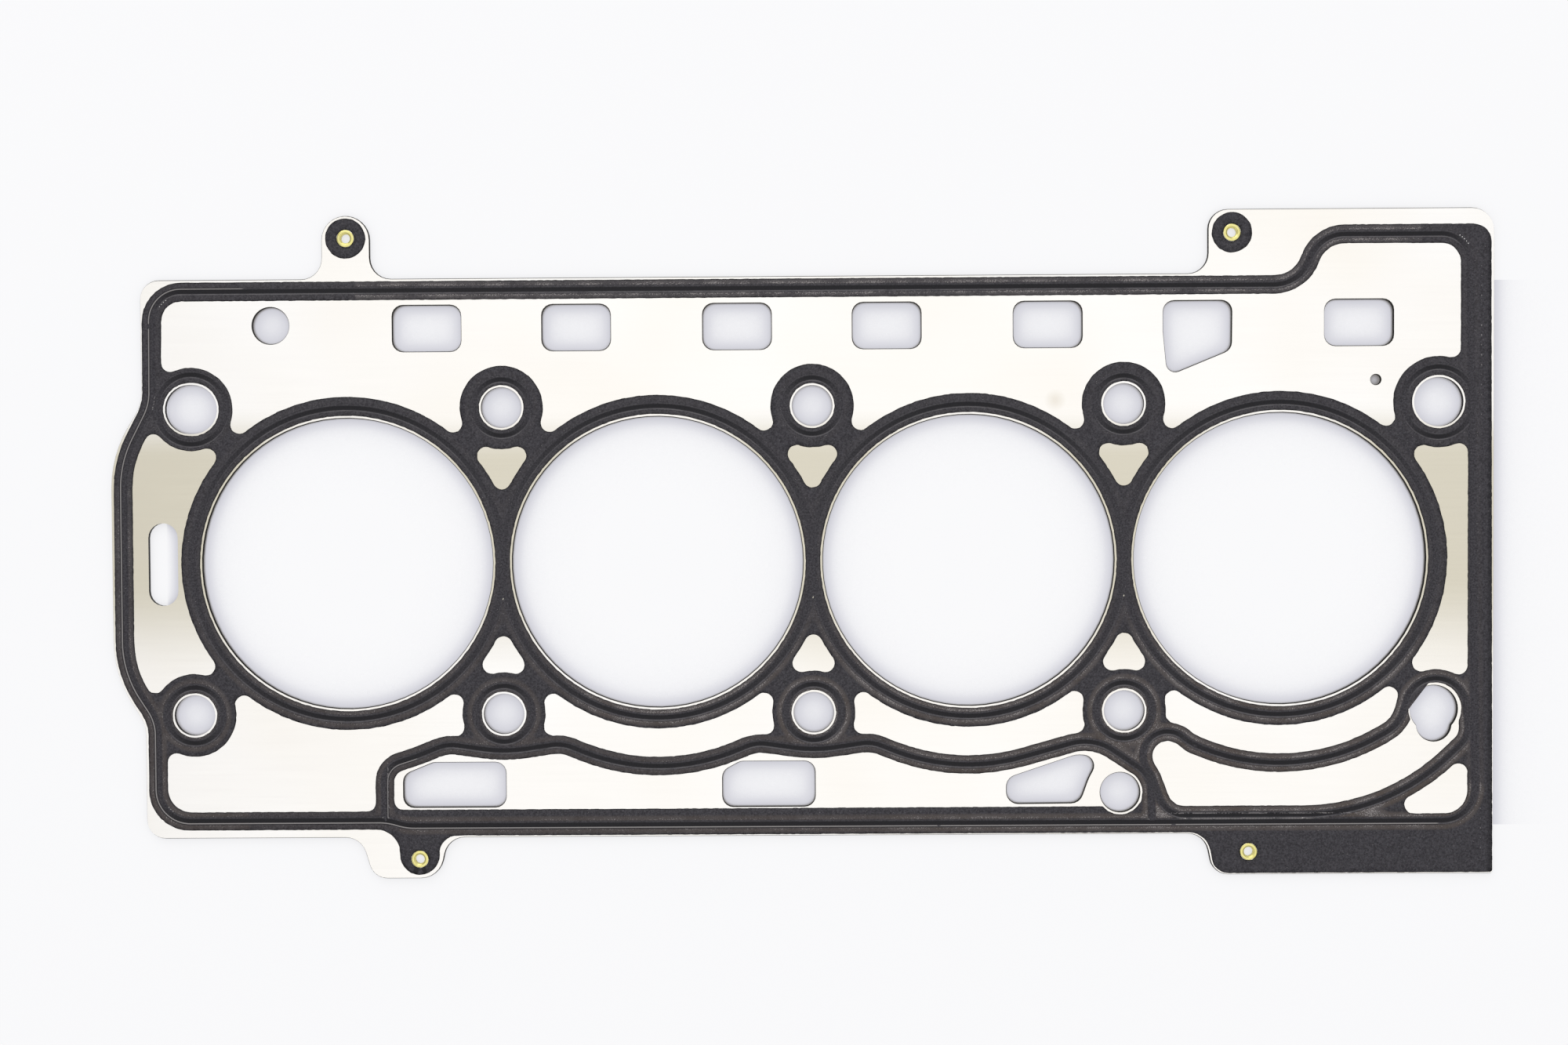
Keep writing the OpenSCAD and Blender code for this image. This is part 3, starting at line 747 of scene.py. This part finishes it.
def lay_rubber_skin(name, node_name, upwards):
    """Lays a fine skin in place of a packed print, on the face that looks up or down."""
    noise = np.random.default_rng(7)
    low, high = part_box(node_name)
    loops, height_at = outline_of(frame["nodes"][node_name], 1 if upwards else -1)
    loops = [ragged(loop, noise) for loop in loops]
    middles = bead_lanes(0, LINE_PACE)
    middle = np.concatenate(middles)
    owner = np.concatenate([np.full(len(lane), i) for i, lane in enumerate(middles)])
    runs = np.concatenate([np.gradient(lane, axis=0) for lane in middles])
    runs /= np.maximum(np.linalg.norm(runs, axis=1), 1e-9)[:, None]
    rim_tree = tree_of(np.concatenate(loops))
    middle_tree = tree_of(middle)
    outer_tree = tree_of(np.concatenate(bead_lanes(OUTER_OFFSET, LINE_PACE)))
    scuff_tree = tree_of(np.concatenate([belt(s, SCUFF_PACE, closed=False) for s in SCUFFS]))

    spots, links = [], []
    for loop in loops:
        base = len(spots)
        spots += [tuple(p) for p in loop]
        links += [(base + i, base + (i + 1) % len(loop)) for i in range(len(loop))]
    spots += skin_spots(low, high, rim_tree, middle_tree, height_at)
    net = delaunay_2d_cdt([Vector(p) for p in spots], links, [], 0, 1e-5)
    points = np.array([p[:] for p in net[0]])
    from_rim = np.array([distance(rim_tree, x, y) for x, y in points])
    faces = []
    for a, b, c in net[2]:
        x, y = (points[a] + points[b] + points[c]) / 3
        # Spots off the rim were laid on print only, so a triangle with one of them is print too
        if max(from_rim[[a, b, c]]) > OFF_RIM or height_at(x, y) is not None:
            faces.append((a, b, c))

    found = [middle_tree.find((x, y, 0)) for x, y in points]
    nearest = np.array([f[1] for f in found])
    from_bead = np.array([f[2] for f in found])
    outside = np.array([distance(outer_tree, x, y) for x, y in points]) < from_bead
    marks = np.array([rubbed(owner[i], x, y) for i, (x, y) in zip(nearest, points)])
    carried = {
        "bead_mm": from_bead,
        "north_mm": points[:, 1] - middle[nearest, 1],
        "lengthwise": np.abs(runs[nearest, 0]),
        "hairline": marks[:, 0] * outside,
        "worn": marks[:, 1],
        "rim_mm": from_rim,
        "scuff_mm": np.array([distance(scuff_tree, x, y) for x, y in points]),
    }

    # The skin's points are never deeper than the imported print's face, so that no steel pokes
    # through. In three small spots in the waists between the bores it still does, by up to 0.03 mm.
    face_height = (high[2] if upwards else low[2]) / MM
    down = -1 if upwards else 1
    packed = [height_at(x, y) for x, y in points]
    depths = [BEAD_DEPTH if z is None else abs(face_height - z) for z in packed]
    top = np.c_[points, face_height + down * np.minimum(dip(from_bead), depths)]
    # The skin's own thickness shows at its rim, so the rim is turned down to the steel
    border = border_of(faces)
    feet = {v: len(top) + i for i, v in enumerate(sorted({v for edge in border for v in edge}))}
    rim_points = list(feet)
    foot_points = top[rim_points] + (0, 0, down * FILM)
    skirts = [(b, a, feet[a], feet[b]) for a, b in border]
    if not upwards:
        faces = [face[::-1] for face in faces]
        skirts = [face[::-1] for face in skirts]

    mesh = bpy.data.meshes.new(name)
    mesh.from_pydata((np.concatenate([top, foot_points]) * MM).tolist(), [], faces + skirts)
    for label, values in carried.items():
        layer = mesh.attributes.new(label, "FLOAT", "POINT")
        values = np.concatenate([values, values[rim_points]]).astype(np.float32)
        layer.data.foreach_set("value", values)
    mesh.polygons.foreach_set("use_smooth", [i < len(faces) for i in range(len(mesh.polygons))])
    mesh.update()
    skin = put_in_scene(name, mesh)
    skin.data.materials.append(finishes["seal_print"])
    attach(skin, "root")
    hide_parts(node_name)


# ---- Eyelets ----

# In millimetres: radius of the bore, thickness of the brass, radius of the roll beside the bore,
# height of the curl that runs on to the flange's rim, and how far down the roll starts
EYELET_BORE, EYELET_WALL, EYELET_ROLL, EYELET_CURL, ROLL_START = 1.2, 0.2, 0.3, 0.15, 0.45
EYELET_SIDES = 72


def spin_eyelet(node_name):
    """Turns a tube with two rolled-over flanges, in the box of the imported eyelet."""
    low, high = (np.array(corner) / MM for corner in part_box(node_name))
    x, y, z = (low + high) / 2
    flange, tall = (high[0] - low[0]) / 2, (high[2] - low[2]) / 2
    # Half of the section, from the waist of the bore up over the roll to the flange's underside.
    # The roll stands up beside the bore and curls down to the sheet.
    roll_middle = EYELET_BORE + EYELET_ROLL
    lip = flange - roll_middle
    section = [(EYELET_BORE, 0), (EYELET_BORE, tall - ROLL_START)]
    for t in np.radians((15, 30, 45, 60, 75, 90)):
        out, rise = roll_middle - EYELET_ROLL * math.cos(t), EYELET_ROLL * math.sin(t)
        section.append((out, tall - ROLL_START + rise))
    for t in np.radians((0, 20, 40, 60, 75, 90)):
        out, fall = roll_middle + lip * math.sin(t), EYELET_CURL * (1 - math.cos(t))
        section.append((out, tall - fall))
    section += [(flange, tall - EYELET_WALL), (EYELET_BORE + EYELET_WALL, tall - EYELET_WALL)]
    section += [(out, -up) for out, up in reversed(section)]

    count = len(section)
    points, faces = [], []
    for i in range(EYELET_SIDES):
        turn = 2 * math.pi * i / EYELET_SIDES
        east, north = math.cos(turn), math.sin(turn)
        points += [(x + out * east, y + out * north, z + up) for out, up in section]
        here, there = i * count, (i + 1) % EYELET_SIDES * count
        for j in range(count):
            k = (j + 1) % count
            faces.append((here + j, there + j, there + k, here + k))
    mesh = bpy.data.meshes.new("spun_" + node_name)
    mesh.from_pydata((np.array(points) * MM).tolist(), [], faces)
    mesh.polygons.foreach_set("use_smooth", [True] * len(faces))
    mesh.update()
    made = put_in_scene("spun_" + node_name, mesh)
    made.data.materials.append(finishes["eyelet"])
    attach(made, "root")
    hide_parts(node_name)


# ---- Assembly ----

finishes = {
    "spring_steel": cold_rolled_spring_steel(),
    "carrier_steel": zinc_coated_carrier_strip(),
    "eyelet": drawn_brass(),
    "seal_print": screen_printed_rubber(),
}
for packed in frame["nodes"].values():
    for held in packed.material_slots:
        held.material = finishes[held.material.name.split(".")[0]]

lay_rubber_skin("top_rubber_skin", "top_seal_print", upwards=True)
lay_rubber_skin("underside_rubber_skin", "bottom_seal_print", upwards=False)
for place_name in ("upper_left", "upper_right", "lower_left", "lower_right"):
    spin_eyelet("eyelet_" + place_name)


# ---- Table, lamps and camera ----

HALF_TABLE = 4  # metres
table_mesh = bpy.data.meshes.new("table")
table_mesh.from_pydata(
    [(x * HALF_TABLE, y * HALF_TABLE, 0) for x, y in ((-1, -1), (1, -1), (1, 1), (-1, 1))],
    [],
    [(0, 1, 2, 3)],
)
table = put_in_scene("table", table_mesh)
table.data.materials.append(white_table())

world = bpy.data.worlds.new("white_studio")
world.use_nodes = True
world.node_tree.nodes.clear()
sky = add(world.node_tree, "Background", {"Color": linear("FAFAFF"), "Strength": 0.52})
add(world.node_tree, "OutputWorld", {"Surface": sky})
bpy.context.scene.world = world


def softbox(name, place, size, power):
    """A soft rectangular lamp that looks at the middle of the gasket, in metres and watts."""
    lamp = bpy.data.lights.new(name, "AREA")
    lamp.shape = "RECTANGLE"
    lamp.size, lamp.size_y = size
    lamp.energy = power
    stand = put_in_scene(name, lamp)
    stand.location = place
    to_middle = Vector((0, 0, 0)) - Vector(place)
    stand.rotation_euler = to_middle.to_track_quat("-Z", "Y").to_euler()


softbox("ceiling_panel", (0.1, 0.0, 1.3), (2.5, 2.2), 9.6)
softbox("window_softbox", (-0.3, 1.3, 0.8), (1.6, 0.8), 6.0)

# The camera's place, tilt and lens were fitted to the holes in the photograph
camera = put_in_scene("camera", bpy.data.cameras.new("camera"))
camera.location = (-5.099 * MM, 19.642 * MM, 451.925 * MM)
camera.rotation_euler = [math.radians(a) for a in (-1.19978, 0.30917, -0.35141)]
camera.data.sensor_width = 36
camera.data.lens = 39.1957
camera.data.clip_start, camera.data.clip_end = 0.01, 20
bpy.context.scene.camera = camera
bpy.context.scene.view_settings.view_transform = "Standard"

bpy.context.view_layer.update()
